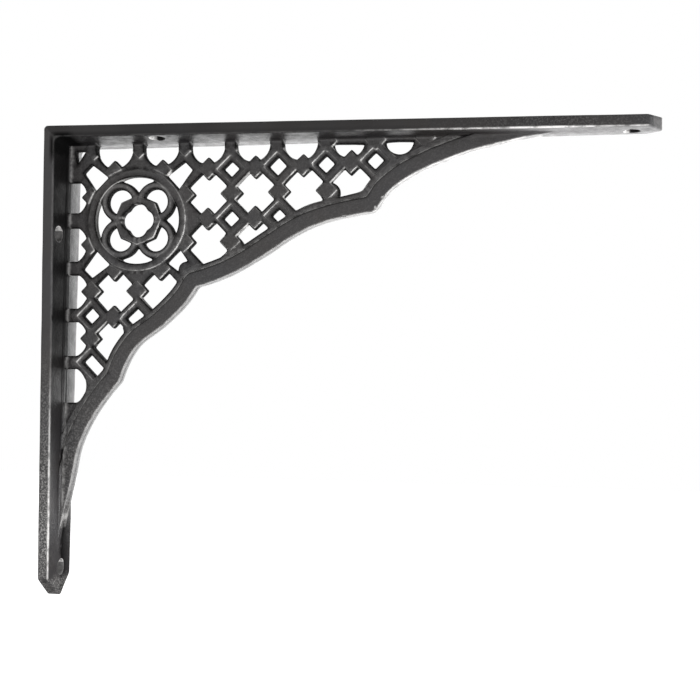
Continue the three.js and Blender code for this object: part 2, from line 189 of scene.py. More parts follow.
def boss_places():
    places = []
    for row, first, last, reach in BOSS_ROWS:
        places += [(cell(first + i, row), reach) for i in range(int(last - first) + 1)]
    return places


def heading(degrees):
    a = math.radians(degrees)
    return np.array([math.cos(a), math.sin(a)])


def bezier(p0, p1, p2, p3, count):
    t = np.linspace(0, 1, count + 1)[:, None]
    u = 1 - t
    return u**3 * p0 + 3 * u * u * t * p1 + 3 * u * t * t * p2 + t**3 * p3


def rim_edge():
    """Open edge of the rim. Knots: place, heading in, heading out, pull in and pull out."""
    shelf_face = SHELF_TIP_MIDDLE - ARM_DRAFT / 2
    wall_face = WALL_MIDDLE - ARM_DRAFT / 2
    knots = [
        (np.array([SHELF_ARM - SHELF_RUN_OUT, -shelf_face]), 0, 188, 0, 31.0),
        (cell(6.77, 1.085), 223, 233, 10.9, 2),
        (cell(6.5, 1.475), 229, 188, 2, 16),
        (cell(4.58, 2.08), 214, 214, 11, 12),
        (cell(2.8, 2.93), 192, 243, 11, 8),
        (cell(1.75, 3.99), 214, 214, 8, 6),
        (cell(1.18, 4.9), 254, 226, 6, 8),
        (cell(0.26, 6.46), 257, 263, 10, 10),
        (np.array([wall_face, -WALL_ARM + WALL_RUN_OUT]), 264, 0, 10, 0),
    ]
    line = [knots[0][0][None]]
    for (a, _, out, _, pull_out), (b, into, _, pull_in, _) in zip(knots, knots[1:]):
        curve = bezier(a, a + heading(out) * pull_out, b - heading(into) * pull_in, b, 24)
        line.append(curve[1:])
    return np.concatenate(line)


def line_distance(line, x, z):
    """Distance to an open line, and its sign: positive on the line's right-hand side."""
    best = np.full(x.shape, 1e9)
    sign = np.ones(x.shape)
    for a, b in zip(line, line[1:]):
        d = b - a
        length2 = d @ d
        t = np.clip(((x - a[0]) * d[0] + (z - a[1]) * d[1]) / length2, 0, 1)
        gap = np.hypot(x - a[0] - t * d[0], z - a[1] - t * d[1])
        side = (x - a[0]) * d[1] - (z - a[1]) * d[0]
        closer = gap < best - 1e-9
        best = np.where(closer, gap, best)
        sign = np.where(closer, np.sign(side), sign)
    return best * sign


def disc(x, z, place, radius):
    return np.hypot(x - place[0], z - place[1]) - radius


def diamond(x, z, place, reach):
    return (np.abs(x - place[0]) + np.abs(z - place[1]) - reach) / math.sqrt(2)


def drawn(x, z, place, reach, turn, run):
    """A diamond drawn out along one heading, negative inside."""
    h = heading(turn)
    along = (x - place[0]) * h[0] + (z - place[1]) * h[1]
    across = -(x - place[0]) * h[1] + (z - place[1]) * h[0]
    half = reach / math.sqrt(2)
    along = np.where(along > 0, np.maximum(along - run, 0), along)
    return np.maximum(np.abs(along) - half, np.abs(across) - half)


def convex(x, z, corners):
    """A convex outline given clockwise or not, negative inside."""
    corners = np.array(corners)
    middle = corners.mean(0)
    field = np.full(x.shape, -1e9)
    for a, b in zip(corners, np.roll(corners, -1, 0)):
        n = np.array([b[1] - a[1], a[0] - b[0]])
        n /= np.hypot(*n)
        if (middle - a) @ n > 0:
            n = -n
        field = np.maximum(field, (x - a[0]) * n[0] + (z - a[1]) * n[1])
    return field


def smooth_noise(shape, span, seed):
    """Even noise from -1 to 1 whose waves are about span grid steps long."""
    r = np.random.default_rng(seed)
    small = r.standard_normal((int(shape[0] / span) + 3, int(shape[1] / span) + 3))
    rows = np.linspace(0, small.shape[0] - 1.001, shape[0])
    cols = np.linspace(0, small.shape[1] - 1.001, shape[1])

    def soften(v):
        base = np.floor(v).astype(int)
        t = v - base
        return base, t * t * (3 - 2 * t)

    i, u = soften(rows)
    j, v = soften(cols)
    u, v = u[:, None], v[None]
    i, j = i[:, None], j[None]
    low = small[i, j] * (1 - v) + small[i, j + 1] * v
    high = small[i + 1, j] * (1 - v) + small[i + 1, j + 1] * v
    return np.clip((low * (1 - u) + high * u) / 1.6, -1, 1)


def blur(field, sigma):
    reach = int(sigma * 3 + 1)
    k = np.exp(-0.5 * (np.arange(-reach, reach + 1) / sigma) ** 2)
    k /= k.sum()
    for axis in (0, 1):
        pad = [(reach, reach) if a == axis else (0, 0) for a in (0, 1)]
        wide = np.pad(field, pad, mode="edge")
        n = field.shape[axis]
        field = sum(w * np.take(wide, range(i, i + n), axis) for i, w in enumerate(k))
    return field


class Grid:
    """An even grid of flat points, GRID apart, on which fields are held."""

    def __init__(self, x0, x1, y0, y1):
        self.x0, self.y0 = x0, y0
        self.nx = int(round((x1 - x0) / GRID)) + 1
        self.ny = int(round((y1 - y0) / GRID)) + 1
        xs = x0 + GRID * np.arange(self.nx)
        ys = y0 + GRID * np.arange(self.ny)
        self.x, self.y = np.meshgrid(xs, ys, indexing="ij")

    def sample(self, field, points):
        u = np.clip((points[:, 0] - self.x0) / GRID, 0, self.nx - 1.001)
        v = np.clip((points[:, 1] - self.y0) / GRID, 0, self.ny - 1.001)
        i, j = u.astype(int), v.astype(int)
        a, b = u - i, v - j
        return (
            field[i, j] * (1 - a) * (1 - b) + field[i + 1, j] * a * (1 - b)
            + field[i, j + 1] * (1 - a) * b + field[i + 1, j + 1] * a * b
        )

    def contour(self, field, level):
        """Lines along which the field has this level, as lists of points."""
        f = field - level
        f = np.where(np.abs(f) < 1e-7, 1e-7, f)
        across = np.sign(f[:-1]) != np.sign(f[1:])
        upward = np.sign(f[:, :-1]) != np.sign(f[:, 1:])
        ax_i, ax_j = np.nonzero(across)
        up_i, up_j = np.nonzero(upward)
        t = f[ax_i, ax_j] / (f[ax_i, ax_j] - f[ax_i + 1, ax_j])
        s = f[up_i, up_j] / (f[up_i, up_j] - f[up_i, up_j + 1])
        places = np.concatenate([
            np.stack([self.x0 + GRID * (ax_i + t), self.y0 + GRID * ax_j], 1),
            np.stack([self.x0 + GRID * up_i, self.y0 + GRID * (up_j + s)], 1),
        ])
        ax_id = np.full(across.shape, -1)
        ax_id[ax_i, ax_j] = np.arange(len(ax_i))
        up_id = np.full(upward.shape, -1)
        up_id[up_i, up_j] = len(ax_i) + np.arange(len(up_i))
        sides = np.stack([ax_id[:, :-1], up_id[1:], ax_id[:, 1:], up_id[:-1]], -1)
        count = (sides >= 0).sum(-1)
        links = {}

        def link(a, b):
            links.setdefault(a, []).append(b)
            links.setdefault(b, []).append(a)

        for i, j in zip(*np.nonzero(count == 2)):
            a, b = [k for k in sides[i, j] if k >= 0]
            link(a, b)
        for i, j in zip(*np.nonzero(count == 4)):
            bottom, right, top, left = sides[i, j]
            if (f[i, j] > 0) == (f[i:i + 2, j:j + 2].mean() > 0):
                link(bottom, right)
                link(top, left)
            else:
                link(bottom, left)
                link(top, right)
        lines, seen = [], set()
        starts = [k for k, v in links.items() if len(v) == 1] + list(links)
        for start in starts:
            if start in seen:
                continue
            line, here = [start], start
            seen.add(start)
            while True:
                onward = [k for k in links[here] if k not in seen]
                if not onward:
                    break
                here = onward[0]
                seen.add(here)
                line.append(here)
            closed = len(line) > 2 and line[0] in links[line[-1]]
            lines.append((places[line], closed))
        return lines


def thin(line, closed, turn=0.2, least=0.16, most=1.0):
    """Keeps the points of a line where it turns, and some along its straights."""
    kept = [0]
    base = None
    for i in range(1, len(line) - (0 if closed else 1)):
        gap = math.hypot(*(line[i] - line[kept[-1]]))
        look = line[min(i + 1, len(line) - 1)] - line[max(i - 2, 0)]
        angle = math.atan2(look[1], look[0])
        if base is None:
            base = angle
        bend = abs((angle - base + math.pi) % (2 * math.pi) - math.pi)
        if gap >= most or (gap >= least and bend > turn):
            kept.append(i)
            base = angle
    if not closed:
        kept.append(len(line) - 1)
    return line[kept]


# A sheet between two faces
def sheet(grid, solid, levels, spots, place, rings=()):
    """A closed mesh over the part of the grid where the field solid is positive. Levels are
    (field, level, spacing) lines that its edges follow, and place turns the flat points of each
    face into points of the shape. Rings are shares of the way down the walls with points."""
    points, edges = [], []

    def add(line, closed):
        first = len(points)
        points.extend(line.tolist())
        edges.extend((first + i, first + i + 1) for i in range(len(line) - 1))
        if closed and len(line) > 2:
            edges.append((first + len(line) - 1, first))

    for line, closed in grid.contour(solid, 0.0):
        if len(line) > 6:
            add(thin(line, closed, turn=0.16, most=0.7), closed)
    for field, level, most in levels:
        for line, closed in grid.contour(field, level):
            if len(line) > 6:
                inside = grid.sample(solid, line) > 0.02
                if inside.all():
                    add(thin(line, closed, most=most), closed)
                    continue
                runs = np.flatnonzero(np.diff(np.concatenate([[0], inside, [0]])))
                for a, b in zip(runs[::2], runs[1::2]):
                    if b - a > 3:
                        add(thin(line[a:b], False, most=most), False)
    for spot in spots:
        points.append(list(spot))
    out = geometry.delaunay_2d_cdt([Vector(p) for p in points], edges, [], 0, 1e-3)
    flat = np.array([tuple(v) for v in out[0]])
    faces = np.array([f for f in out[2] if len(f) == 3])
    middle = flat[faces].mean(1)
    faces = faces[grid.sample(solid, middle) > 0]
    a, b, c = (flat[faces[:, k]] for k in range(3))
    area = (b - a)[:, 0] * (c - a)[:, 1] - (b - a)[:, 1] * (c - a)[:, 0]
    faces = np.where(area[:, None] < 0, faces[:, ::-1], faces)
    used = np.unique(faces)
    number = np.full(len(flat), -1)
    number[used] = np.arange(len(used))
    flat, faces = flat[used], number[faces]
    sides = np.concatenate([faces[:, [0, 1]], faces[:, [1, 2]], faces[:, [2, 0]]])
    keys = set(map(tuple, sides.tolist()))
    open_sides = np.array([s for s in sides.tolist() if (s[1], s[0]) not in keys])
    top, bottom = place(flat)
    n = len(flat)
    rim = np.unique(open_sides)
    layers = [np.arange(n)]
    more = []
    for index, share in enumerate(rings):
        layer = np.full(n, -1)
        layer[rim] = 2 * n + index * len(rim) + np.arange(len(rim))
        layers.append(layer)
        more.append(top[rim] * (1 - share) + bottom[rim] * share)
    layers.append(np.arange(n) + n)
    a, b = open_sides.T
    walls = []
    for upper, lower in zip(layers, layers[1:]):
        walls += np.stack([upper[b], upper[a], lower[a], lower[b]], 1).tolist()
    all_faces = faces.tolist() + (faces[:, ::-1] + n).tolist() + walls
    return np.concatenate([top, bottom, *more]), all_faces


def spread(grid, keep, pitch):
    """Loose points over the places that keep allows, a pitch apart."""
    xs = np.arange(grid.x0, grid.x0 + GRID * grid.nx, pitch)
    ys = np.arange(grid.y0, grid.y0 + GRID * grid.ny, pitch)
    x, y = (v.ravel() for v in np.meshgrid(xs, ys))
    spots = np.stack([x, y], 1) + rng.uniform(-0.25, 0.25, (len(x), 2)) * pitch
    return spots[grid.sample(keep, spots) > 0]


def quarter(d, run, drop=None):
    """How far a rounded edge drops at a distance d in from it, over a run."""
    t = 1 - np.clip(d / run, 0, 1)
    return (drop or run) * (1 - np.sqrt(1 - t * t))


def soft_step(d, run):
    t = np.clip(d / run + 0.5, 0, 1)
    return t * t * (3 - 2 * t)


def near(distance, reach):
    """1 at no distance, falling evenly to 0 at the reach."""
    return 1 - np.clip(distance / reach, 0, 1)


def rising(value, start, run):
    """0 up to the start, rising evenly to 1 over the run."""
    return np.clip((value - start) / run, 0, 1)


# Web
def make_web():
    grid = Grid(*WEB_SPAN)
    shape, span = grid.x.shape, WOBBLE_SPAN / GRID
    x = grid.x + WOBBLE * smooth_noise(shape, span, WOBBLE_SEEDS[0])
    z = grid.y + WOBBLE * smooth_noise(shape, span, WOBBLE_SEEDS[1])
    edge = rim_edge()
    rim = blur(line_distance(edge, x, z), RIM_BLUR / GRID)

    def clear(place):
        return line_distance(edge, np.array([place[0]]), np.array([place[1]]))[0] > BOSS_ROOM

    bosses = [(place, reach) for place, reach in boss_places() if clear(place)]
    notches = np.minimum.reduce([diamond(x, z, place, reach) for place, reach in bosses])
    wide = [diamond(x, z, cell(column, row), reach) for column, row, reach in CROSSES]
    wide += [disc(x, z, cell(column, 0), radius) for column, radius in TOP_SCALLOPS]
    wide += [
        np.maximum(disc(x, z, cell(column, row), radius), z + drop)
        for (column, row, radius), drop in zip(SHORT_SCALLOPS, LINTEL_DROP)
    ]
    for (column, row, radius), half in zip(SIDE_SCALLOPS, SIDE_HALVES):
        spot = cell(column, row)
        band = np.abs(z - spot[1]) - half
        wide.append(np.maximum.reduce([disc(x, z, spot, radius), SIDE_STRIP - x, band]))
    holes = [np.maximum(np.minimum.reduce(wide), -notches)]
    eyes = [(cell(column, row), turn, run) for column, row, _, turn, run in EYES]
    holes += [drawn(x, z, cell(column, row), reach, turn, run) for column, row, reach, turn, run in EYES]

    heart = cell(*ROSETTE_CELL)
    petals = [heart + heading(a) * PETAL_PLACE * math.sqrt(2) + np.array(shift) for a, shift in PETALS]
    petal_field = np.minimum.reduce([disc(x, z, p, PETAL_OUTER) for p in petals])
    centre = disc(x, z, heart + np.array(RING_SHIFT), 0)
    sides = np.maximum.reduce([centre - RING_INNER, -petal_field, -disc(x, z, heart, HUB_DISC)])
    middle = heart + np.array(HUB_SHIFT)
    hub_corners = [middle + heading(a) * HUB_REACH for a in range(0, 360, 45)]
    hub = convex(x, z, hub_corners)
    beans = np.minimum.reduce([disc(x, z, p, PETAL_INNER) for p in petals])
    lobes = np.minimum.reduce([
        disc(x, z, middle + heading(a) * LOBE_PLACE, LOBE_RADIUS) for a in (0, 90, 180, 270)
    ])
    holes += [blur(sides, RING_BLUR / GRID), np.maximum(beans, -hub), lobes]
    for a, shift, more in WEDGES:
        start, end = (heart + np.array(shift) + heading(a) * r for r in (WEDGE_NEAR, WEDGE_FAR))
        side = heading(a + 90)
        holes.append(convex(x, z, [
            start - side * (WEDGE_NEAR_HALF + more), end - side * (WEDGE_FAR_HALF + more),
            end + side * (WEDGE_FAR_HALF + more), start + side * (WEDGE_NEAR_HALF + more),
        ]))
    spot = cell(*CORNER_CELL)
    holes.append(convex(x, z, [
        (spot[0] - CORNER_GAP / 2, spot[1] + CORNER_GAP / 3),
        (spot[0] - CORNER_GAP / 3, spot[1] - CORNER_GAP),
        (spot[0] + CORNER_GAP / 2, spot[1] + CORNER_GAP / 3),
    ]))
    fills = np.minimum.reduce([disc(x, z, place, radius) for place, radius in FILLS])
    strip_width = RIM_TOTAL + sum(
        swell * np.exp(-((x - place) / width) ** 2) for place, width, swell in SWELLS
    )
    hole = np.maximum.reduce([np.minimum.reduce(holes), strip_width - rim, -fills])
    hole = blur(hole, HOLE_BLUR / GRID)
    solid = np.minimum.reduce([hole, rim, grid.x - WALL_MIDDLE / 2, -grid.y - SHELF_TIP_MIDDLE / 2])

    rings = np.minimum.reduce([
        np.maximum(drawn(x, z, p, RIB_FAR, turn, run), -drawn(x, z, p, RIB_NEAR, turn, run))
        for p, turn, run in eyes
    ])
    raised = [place for place, _ in bosses]
    raised += [cell(STEM_BOSSES[0] + i, 0) for i in range(STEM_BOSSES[1])]
    tops = np.minimum.reduce([diamond(x, z, place, BOSS_REACH) for place in raised])
    ribs = -np.minimum(rings, tops)
    around = centre - RING_OUTER
    ribs = np.minimum(ribs, around - RING_MOAT)
    ring = np.minimum(RING_OUTER - RING_EDGE - centre, centre - RING_INNER + RING_LIP)
    hub_rise = -hub - HUB_BORDER
    ribs = np.maximum.reduce([ribs, ring, hub_rise])
    strip = np.minimum(rim - RIM_BAND - RIM_GROOVE, RIM_TOTAL + STRIP_SPILL - rim)
    ribs = np.minimum(ribs, rim - RIM_BAND - RIM_GROOVE)
    ribs = np.maximum(ribs, strip)
    ribs = blur(ribs, RIB_BLUR / GRID)
    bead = np.abs(np.minimum.reduce([disc(x, z, p, (PETAL_INNER + PETAL_OUTER) / 2) for p in petals]))
    bead = np.where(centre < RING_OUTER - RING_MOAT, bead, FAR)
    shelf_under = SHELF_MIDDLE + (SHELF_TIP_MIDDLE - SHELF_MIDDLE) * grid.x / SHELF_ARM
    arm_gap = np.minimum(grid.x - WALL_MIDDLE, -grid.y - shelf_under) + 0.1
    bumps = smooth_noise(shape, WEB_BUMP_SPAN / GRID, WEB_BUMP_SEED) * WEB_BUMP

    chips = np.minimum.reduce([disc(x, z, spot, radius) for spot, radius in CHIPS])

    def chipped(flat):
        return soft_step(-grid.sample(chips, flat), CHIP_RUN)

    def place(flat):
        d_hole = grid.sample(hole, flat)
        d_rim = grid.sample(rim, flat)
        rise = soft_step(grid.sample(ribs, flat), STEP_RUN)
        height = LEDGE_DEPTH / 2 + (RIB_DEPTH - LEDGE_DEPTH) / 2 * rise
        round_bead = 1 - np.clip(grid.sample(bead, flat) / BEAD_HALF, 0, 1) ** 2
        crown = BEAD_RISE * np.sqrt(np.maximum(round_bead, 0))
        height = np.maximum(height, WEB_DEPTH / 2 + BEAD_FOOT + crown)
        height = np.minimum(height, RIB_DEPTH / 2)
        band = soft_step(RIM_BAND - d_rim, STEP_RUN)
        height = height + (RIM_DEPTH / 2 - RIM_EASE - height) * band
        height = height - quarter(d_hole, *EDGE_ROUND) - quarter(d_rim, RIM_ROUND)
        gap = grid.sample(arm_gap, flat)
        fillet = np.where(gap > 0, quarter(gap, WEB_FILLET), WEB_FILLET)
        height = height + fillet * np.clip(d_rim / 3, 0, 1)
        height = height + grid.sample(bumps, flat)
        broken = CHIP_DEPTH * chipped(flat)
        top = np.stack([flat[:, 0], broken - height, flat[:, 1]], 1)
        bottom = np.stack([flat[:, 0], height, flat[:, 1]], 1)
        return top, bottom

    levels = [(hole, v, 0.8) for v in HOLE_LINES]
    levels += [(ribs, v, 0.9) for v in RIB_LINES]
    levels += [(chips, v, 0.4) for v in CHIP_LINES]
    levels += [(bead, v, 0.6) for v in BEAD_LINES]
    levels += [(rim, v, 1.0) for v in RIM_LINES]
    levels += [(arm_gap, WEB_FILLET * v, 1.2) for v in FILLET_SHARES]
    spots = spread(grid, np.minimum(solid - 0.4, 1), 1.3)

    def shade_and_highlight(points):
        """For each point of the iron, how far it is in painted shade, 1 on the edges of openings and in
        grooves, and how much painted highlight it has, on the edges and crests of the raised work, with real
        wear at the chips."""
        flat = points[:, [0, 2]]
        d_rim = grid.sample(rim, flat)
        near_hole = near(grid.sample(hole, flat), HOLE_SHADE[1]) ** HOLE_SHADE_POWER
        groove = near(np.abs(d_rim - RIM_BAND - RIM_GROOVE / 2), GROOVE_SHADE[1])
        from_heart = flat - heart
        straight = np.abs(from_heart).max(1) / np.maximum(np.hypot(*from_heart.T), 0.1)
        moat = near(np.abs(grid.sample(around, flat)), MOAT_SHADE[1])
        moat = moat * rising(straight, MOAT_STRAIGHT, MOAT_STRAIGHT_RUN)
        moat = moat * (from_heart[:, 0] < RING_INNER / 2)
        # Painted shade: darker on the edges of openings, in the rim's groove and in the moat round the ring
        painted_shade = np.maximum.reduce([
            near_hole * HOLE_SHADE[0], groove * GROOVE_SHADE[0], moat * MOAT_SHADE[0],
        ])
        # Painted highlights: on the steps, mostly those falling toward the lower right, on the bead crests,
        # along the rim's front lip, on its outer wall (more toward the shelf tip) and along the fillet seam;
        # the chips show real wear
        ahead = np.array(STEP_HIGHLIGHT_AHEAD)
        fall = grid.sample(ribs, flat - ahead) - grid.sample(ribs, flat + ahead)
        fall = np.clip(fall / (2 * math.hypot(*STEP_HIGHLIGHT_AHEAD)), 0, 1)
        slope = near(np.abs(grid.sample(ribs, flat)), STEP_HIGHLIGHT[1])
        slope = slope * (STEP_HIGHLIGHT_LEAST + (1 - STEP_HIGHLIGHT_LEAST) * fall)
        crest = near(grid.sample(bead, flat), CREST_HIGHLIGHT[1])
        from_face = RIM_DEPTH / 2 - np.abs(points[:, 1])
        lip = near(d_rim, LIP_HIGHLIGHT[1]) * near(from_face - LIP_TOP, LIP_DEPTH)
        parting = near(np.abs(points[:, 1]), PARTING_REACH)
        outer_wall = OUTER_WALL_LIGHT * rising(flat[:, 0], OUTER_WALL_LIGHT_START, OUTER_WALL_LIGHT_RUN)
        outer_wall = outer_wall * (1 - parting) * (d_rim < OUTER_WALL)
        seam = near(np.abs(flat[:, 0] - WALL_MIDDLE - WEB_FILLET), SEAM_HIGHLIGHT[1])
        broken = chipped(flat) * (points[:, 1] < 0)
        highlight_and_wear = np.maximum.reduce([
            slope * STEP_HIGHLIGHT[0], crest * CREST_HIGHLIGHT[0], lip * LIP_HIGHLIGHT[0], outer_wall,
            seam * SEAM_HIGHLIGHT[0], broken * CHIP_WEAR,
        ])
        in_web = (np.abs(points[:, 1]) < RIM_DEPTH / 2) & (grid.sample(arm_gap, flat) > 0.5)
        in_web &= (flat[:, 0] < grid.x[-1, 0]) & (flat[:, 1] > grid.y[0, 0])
        painted_shade = np.where(in_web & (d_rim > RIM_BAND - 0.3), np.clip(painted_shade, 0, 1), 0)
        painted_shade = np.where(d_rim < OUTER_WALL, PARTING_SHADE * parting, painted_shade)
        return painted_shade, np.where(in_web, highlight_and_wear, 0), in_web

    return sheet(grid, solid, levels, spots, place, rings=(0.4, 0.5, 0.6)), shade_and_highlight


# The two arms
def make_arms():
    """The arms as one strip: its length runs up the wall arm, round the corner and out along
    the shelf arm, and its width runs across the web."""
    grid = Grid(-WALL_ARM - 1, SHELF_ARM + 1, -ARM_SPAN, ARM_SPAN)
    shape = grid.x.shape
    along = grid.x
    across = grid.y + ARM_WOBBLE * smooth_noise(shape, ARM_WOBBLE_SPAN / GRID, ARM_WOBBLE_SEED)

    def outline(length, tip, point):
        start = length - point
        return convex(along, across, [
            (0, -CORNER_WIDTH / 2), (start, -tip / 2), (length, -BLUNT_END / 2),
            (length, BLUNT_END / 2), (start, tip / 2), (0, CORNER_WIDTH / 2),
        ])

    shelf = outline(SHELF_ARM, SHELF_TIP_WIDTH, SHELF_POINT)
    along = -grid.x
    wall = outline(WALL_ARM, WALL_TIP_WIDTH, WALL_POINT)
    rim = -np.where(grid.x > 0, shelf, wall)
    rim = blur(rim, ARM_BLUR / GRID)
    screws = np.minimum.reduce([
        disc(grid.x, grid.y, (far, place), SCREW_HOLE / 2) for place, far, _ in SCREW_PLACES
    ])
    solid = np.minimum(rim, screws)
    bumps = smooth_noise(shape, ARM_BUMP_SPAN / GRID, ARM_BUMP_SEED) * ARM_BUMP

    def bend(s, depth, fillet):
        """Places along the bent strip at a depth under its outer face."""
        reach = np.abs(s)
        reach = reach + depth * np.clip(1 - reach / CORNER_SPAN, 0, 1) ** 2
        x = np.where(s > 0, reach, depth)
        z = -np.where(s > 0, depth, reach)
        t = np.clip((np.sign(s) * (reach - depth) + fillet) / (2 * fillet), 0, 1)
        in_fillet = reach - depth < fillet
        x = np.where(in_fillet, depth + fillet * t * t, x)
        z = np.where(in_fillet, -depth - fillet * (1 - t) ** 2, z)
        return x, z

    def place(flat):
        edge = np.maximum(grid.sample(rim, flat), 0)
        bore = np.maximum(grid.sample(screws, flat), 0)
        ease = quarter(edge, ARM_ROUND) + quarter(bore, 0.25)
        y = flat[:, 1]
        x, z = bend(flat[:, 0], ease * 0.8 + 0.02, CORNER_ROUND)
        outer = np.stack([x, y, z], 1)
        along_shelf = np.clip(flat[:, 0] / SHELF_ARM, 0, 1)
        middle = np.where(flat[:, 0] > 0, SHELF_MIDDLE, WALL_MIDDLE)
        middle = middle + (SHELF_TIP_MIDDLE - SHELF_MIDDLE) * along_shelf
        near_corner = np.clip(1 - np.abs(flat[:, 0]) / CORNER_SPAN, 0, 1)
        middle = middle + ((SHELF_MIDDLE + WALL_MIDDLE) / 2 - middle) * near_corner
        depth = middle - ARM_DRAFT * np.abs(y) / (CORNER_WIDTH / 2)
        depth = depth - ease * 0.9 + grid.sample(bumps, flat) - 0.04
        x, z = bend(flat[:, 0], depth, INNER_FILLET)
        inner = np.stack([x, y, z], 1)
        return outer, inner

    levels = [(rim, v, 1.6) for v in ARM_EDGE_LINES]
    levels += [(screws, v, 0.6) for v in BORE_LINES]
    levels += [(grid.y, v, 1.6) for v in WIDTH_LINES]
    levels += [(grid.x, v, 1.2) for v in (0.01, *CORNER_LINES, *(-v for v in CORNER_LINES))]
    spots = spread(grid, np.minimum(solid - 0.6, 1), 2.2)
    return sheet(grid, solid, levels, spots, place, rings=(0.5, 0.92))


def mesh_object(name, points, faces):
    mesh = bpy.data.meshes.new(name)
    shift = np.array([0, 0, WALL_ARM / 2])
    mesh.from_pydata(((points + shift) * MM).tolist(), [], faces)
    mesh.validate()
    mesh.update()
    made = bpy.data.objects.new(name, mesh)
    bpy.context.scene.collection.objects.link(made)
    return made


iron = mesh_object("bracket_iron", *make_arms())
web_sheet, web_shade_and_highlight = make_web()
web = mesh_object("web", *web_sheet)

union = iron.modifiers.new("join", "BOOLEAN")
union.operation, union.solver, union.object = "UNION", "MANIFOLD", web
graph = bpy.context.evaluated_depsgraph_get()
joined = bpy.data.meshes.new_from_object(iron.evaluated_get(graph))
iron.modifiers.clear()
iron.data = joined
iron.data.name = "bracket_iron"
bpy.data.objects.remove(web)
iron.data.shade_smooth()
iron.data.set_sharp_from_angle(angle=math.radians(38))


def arm_shade_and_highlight(points):
    """For each point on the arms, how far it is in painted shade, how much painted highlight it has, along
    the edges beside the inner faces, and how many specks, partly grain and partly painted sparkle, on the
    narrow sides toward the tips."""
    x, y, z = points.T
    on_shelf = x > -z
    reach = np.clip(np.where(on_shelf, x / SHELF_ARM, -z / WALL_ARM), 0, 1)
    tip = np.where(on_shelf, SHELF_TIP_WIDTH, WALL_TIP_WIDTH)
    gap = (CORNER_WIDTH + (tip - CORNER_WIDTH) * reach) / 2 - np.abs(y)
    side = near(gap, EDGE_BAND)
    middle = np.where(on_shelf, SHELF_MIDDLE + (SHELF_TIP_MIDDLE - SHELF_MIDDLE) * reach, WALL_MIDDLE)
    under = middle - ARM_DRAFT * np.abs(y) / (CORNER_WIDTH / 2) - np.where(on_shelf, -z, x)
    # Painted highlight along the edges, stronger toward the tips, and on the shelf tip's end
    highlight_and_wear = side * near(under - 0.1, EDGE_BAND)
    highlight_and_wear *= ARM_EDGE_HIGHLIGHT * np.clip((reach - ARM_EDGE_HIGHLIGHT_FROM) / ARM_EDGE_HIGHLIGHT_RUN, ARM_EDGE_HIGHLIGHT_LEAST, 1)
    highlight_and_wear = np.where(on_shelf & (reach > TIP_LIGHT_FROM), TIP_LIGHT, highlight_and_wear)
    # Specks, partly grain and partly painted sparkle, more toward the tips
    shelf_grain_and_sparkle = SHELF_SPECKS * soft_step(reach - SHELF_SPECKS_FROM, SHELF_SPECKS_RUN)
    grain_and_sparkle = side * np.where(on_shelf, shelf_grain_and_sparkle, soft_step(reach - WALL_SPECKS_FROM, WALL_SPECKS_RUN))
    grain_and_sparkle = np.where(~on_shelf & (reach > TIP_SPECKS_FROM), TIP_SPECKS, grain_and_sparkle)
    front = y < 0
    inner = np.where(on_shelf, -z, x) > INNER_DEPTH
    to_end = FRONT_SHADE_END - reach
    shelf_front = SHELF_FRONT_SHADE * rising(to_end, 0, SHELF_FRONT_RUN) * front
    shelf_shade = np.maximum(SHELF_SHADE * (1 - reach / SHELF_SHADE_END), shelf_front)
    wall_front = WALL_FRONT_SHADE * rising(to_end, 0, WALL_FRONT_RUN)
    wall_shade = np.where(front, wall_front, WALL_BACK_SHADE * (1 - y / WALL_BACK_WIDTH))
    shade = np.clip(np.where(on_shelf, shelf_shade, wall_shade * (side == 0)), 0, 1)
    from_corner = np.maximum(x - WALL_MIDDLE, -z - SHELF_MIDDLE)
    in_corner = near(from_corner - CORNER_SHADE_START, CORNER_SHADE_RUN) * front
    shade = np.maximum(np.maximum(shade, in_corner) * inner, side * on_shelf * SIDE_SHADE)
    for place, far, up in SCREW_PLACES:
        gone = (z if up else x) - far
        bore = (np.hypot(y - place, gone) < SCREW_HOLE / 2 + BORE_REACH) & (on_shelf != up)
        if up:
            bright = (gone > WALL_BORE_LIGHT) & (x > WALL_BORE_DEPTHS[0])
            dark = x < WALL_BORE_DEPTHS[1]
        else:
            bright = gone < SHELF_BORE_LIGHT
            dark = gone > SHELF_BORE_LIGHT
        # Painted light on the lit part of each bore and painted shade on its dark part
        bore_light = np.where(bright, BORE_BRIGHT, np.where(dark, 0, BORE_HALF_LIGHT))
        highlight_and_wear = np.where(bore, bore_light, highlight_and_wear)
        shade = np.where(bore, np.where(dark & ~bright, BORE_SHADE, 0), shade)
    return shade, highlight_and_wear, grain_and_sparkle


def give(mesh, name, values):
    mesh.attributes.new(name, "FLOAT", "POINT").data.foreach_set("value", values)


places = np.array([v.co for v in iron.data.vertices]) / MM - np.array([0, 0, WALL_ARM / 2])
painted_shade, web_highlight_and_wear, in_web = web_shade_and_highlight(places)
shade, arm_highlight_and_wear, grain_and_sparkle = arm_shade_and_highlight(places)
# Specks on the web, partly grain and partly painted sparkle, more toward the bottom
web_grain_and_sparkle = WEB_SPECKS + WEB_SPECKS_MORE * soft_step(-places[:, 2] / WALL_ARM - WEB_SPECKS_FROM, WEB_SPECKS_RUN)
# Painted shade, painted highlights with the chips' wear, and the specks go onto the mesh for the material
give(iron.data, "painted_shade", np.where(in_web, painted_shade, shade))
give(iron.data, "highlight_and_wear", np.where(in_web, web_highlight_and_wear, arm_highlight_and_wear))
give(iron.data, "grain_and_sparkle", np.where(in_web, web_grain_and_sparkle, grain_and_sparkle))


